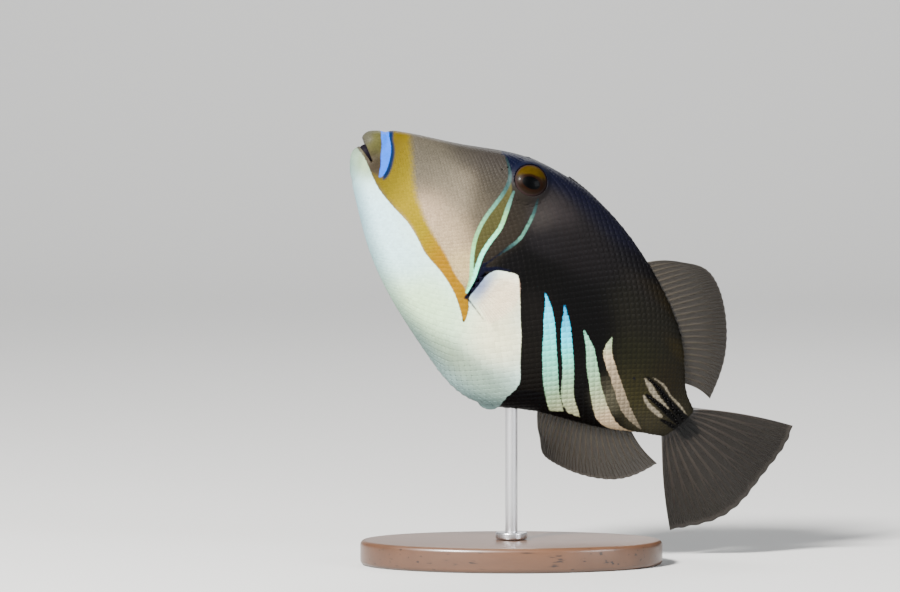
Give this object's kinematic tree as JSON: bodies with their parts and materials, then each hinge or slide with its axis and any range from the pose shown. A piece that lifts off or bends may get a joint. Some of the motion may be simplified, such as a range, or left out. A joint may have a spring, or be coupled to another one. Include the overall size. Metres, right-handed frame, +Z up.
{
  "type": "picasso triggerfish display model",
  "caption": "Life-size picasso triggerfish, nose up and tail bent aside, held still on a flat oval base by one upright rod.",
  "frame": {"origin": "middle of the stand base's underside, under the rod that holds the fish", "axes": "+Z up; the fish swims towards -X with its left side facing -Y, and its tail bends towards +Y"},
  "size_m": [0.1458, 0.064, 0.1408],
  "materials": {
    "head_skin": "satin painted skin, grey-taupe cheek over white",
    "torso_skin": "satin painted skin, dark back over white belly",
    "stalk_skin": "satin painted skin, dark olive",
    "eye": "gloss, amber iris with a black pupil",
    "fin": "thin, satin, warm grey",
    "spine": "satin, near black",
    "stand_base": "dark stained, satin",
    "stand_metal": "fine brushed"
  },
  "bodies": {
    "root": {"head": "head_skin", "torso": "torso_skin", "tail_stalk": "stalk_skin", "eye_left": "eye", "eye_right": "eye", "dorsal_fin": "fin", "anal_fin": "fin", "tail_fin": "fin", "pectoral_fin_left": "fin", "pectoral_fin_right": "fin", "trigger_spine": "spine", "stand_base": "stand_base", "stand_rod": "stand_metal", "stand_collar": "stand_metal"}
  },
  "joints": []
}
